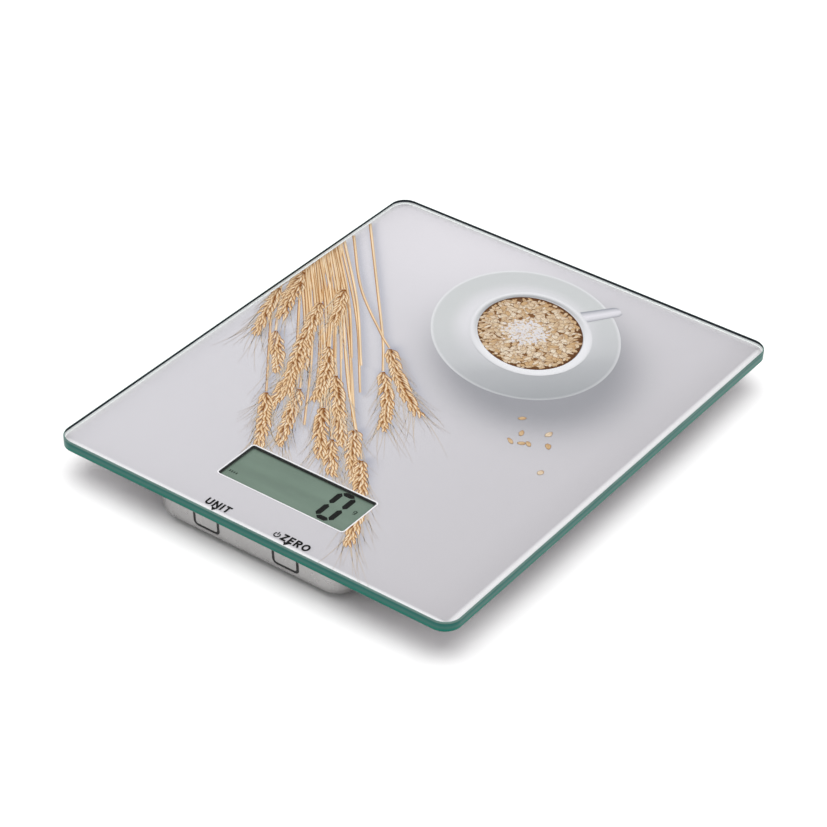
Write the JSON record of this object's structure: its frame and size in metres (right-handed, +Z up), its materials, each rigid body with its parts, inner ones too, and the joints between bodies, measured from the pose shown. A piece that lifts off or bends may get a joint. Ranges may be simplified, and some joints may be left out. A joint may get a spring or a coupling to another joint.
{
  "type": "kitchen scale",
  "caption": "Slim kitchen scale: a printed glass platform over a shallow housing with display, push buttons, coin battery and load-sensing feet.",
  "frame": {"origin": "on the table, under the middle of the glass platform", "axes": "+Z up, +X right along the display edge, +Y from the display edge to the back; the display faces -Y"},
  "size_m": [0.165, 0.2, 0.0168],
  "materials": {
    "platform_glass": "clear tempered glass with polished green edges",
    "print": "ceramic ink layer fired on the underside of the glass",
    "bond_tape": "foam bonding tape",
    "silver_plastic": "metallic silver lacquer on moulded plastic",
    "label_film": "blank silver label film",
    "black_foam": "soft foam",
    "black_plastic": "moulded",
    "display_glass": "thin polished display glass",
    "display_reflector": "grey-green reflecting film",
    "connector_rubber": "layered conductive rubber",
    "board_laminate": "green solder mask",
    "black_resin": "glossy potting resin",
    "capacitor_ceramic": "fired ceramic",
    "white_nylon": "moulded",
    "plated_steel": "zinc plated",
    "black_rubber": "silicone",
    "cell_steel": "nickel plated can",
    "contact_steel": "nickel plated spring steel",
    "black_wire": "wire insulation",
    "red_wire": "wire insulation",
    "seat_plastic": "moulded",
    "sealant": "white silicone sealant",
    "foot_plastic": "moulded",
    "foot_rubber": "non-slip rubber",
    "cable_jacket": "flat three-wire jacket"
  },
  "bodies": {
    "platform": {"glass_platform": "platform_glass", "printed_decor": "print", "housing_bond_tape": "bond_tape", "seat_bond_pads": "bond_tape", "housing_shell": "silver_plastic", "rating_label": "label_film", "lcd_gasket": "black_foam", "lcd_bezel": "black_plastic", "lcd_front_glass": "display_glass", "lcd_rear_glass": "display_glass", "lcd_reflector": "display_reflector", "lcd_connector_strips": "connector_rubber", "main_board": "board_laminate", "controller_blob": "black_resin", "chip_capacitors": "capacitor_ceramic", "cable_connectors": "white_nylon", "board_screws": "plated_steel", "keypad_membrane": "black_rubber", "unit_switch": "black_plastic", "zero_switch": "black_plastic", "coin_cell": "cell_steel", "negative_contact": "contact_steel", "positive_contact": "contact_steel", "negative_battery_lead": "black_wire", "positive_battery_lead": "red_wire", "cable_clips": "white_nylon", "sensor_seat_front_left": "seat_plastic", "sensor_seat_front_right": "seat_plastic", "sensor_seat_rear_left": "seat_plastic", "sensor_seat_rear_right": "seat_plastic", "front_left_cable": "cable_jacket", "front_right_cable": "cable_jacket", "rear_left_cable": "cable_jacket", "rear_right_cable": "cable_jacket"},
    "unit_button": {"unit_button_cap": "silver_plastic", "unit_switch_plunger": "white_nylon"},
    "zero_button": {"zero_button_cap": "silver_plastic", "zero_switch_plunger": "white_nylon"},
    "battery_door": {"battery_door": "silver_plastic"},
    "foot_front_left": {"sensor_plate_front_left": "plated_steel", "strain_gauge_front_left": "sealant", "foot_cup_front_left": "foot_plastic", "foot_pad_front_left": "foot_rubber"},
    "foot_front_right": {"sensor_plate_front_right": "plated_steel", "strain_gauge_front_right": "sealant", "foot_cup_front_right": "foot_plastic", "foot_pad_front_right": "foot_rubber"},
    "foot_rear_left": {"sensor_plate_rear_left": "plated_steel", "strain_gauge_rear_left": "sealant", "foot_cup_rear_left": "foot_plastic", "foot_pad_rear_left": "foot_rubber"},
    "foot_rear_right": {"sensor_plate_rear_right": "plated_steel", "strain_gauge_rear_right": "sealant", "foot_cup_rear_right": "foot_plastic", "foot_pad_rear_right": "foot_rubber"}
  },
  "joints": [
    {"name": "unit_button_press", "type": "slide", "parent": "platform", "child": "unit_button", "axis": [0, 1, 0], "range_m": [0, 0.0005], "stiffness_N_per_m": 400, "springref_m": -0.0005},
    {"name": "zero_button_press", "type": "slide", "parent": "platform", "child": "zero_button", "axis": [0, 1, 0], "range_m": [0, 0.0005], "stiffness_N_per_m": 400, "springref_m": -0.0005},
    {"name": "battery_door_hinge", "type": "hinge", "parent": "platform", "child": "battery_door", "pos_m": [-0.0014, -0.0216, 0.0027], "axis": [1, 0, 0], "range_deg": [0, 85]},
    {"name": "foot_front_left_travel", "type": "slide", "parent": "platform", "child": "foot_front_left", "axis": [0, 0, 1], "range_m": [0, 0.0004], "stiffness_N_per_m": 8000},
    {"name": "foot_front_right_travel", "type": "slide", "parent": "platform", "child": "foot_front_right", "axis": [0, 0, 1], "range_m": [0, 0.0004], "stiffness_N_per_m": 8000},
    {"name": "foot_rear_left_travel", "type": "slide", "parent": "platform", "child": "foot_rear_left", "axis": [0, 0, 1], "range_m": [0, 0.0004], "stiffness_N_per_m": 8000},
    {"name": "foot_rear_right_travel", "type": "slide", "parent": "platform", "child": "foot_rear_right", "axis": [0, 0, 1], "range_m": [0, 0.0004], "stiffness_N_per_m": 8000}
  ]
}
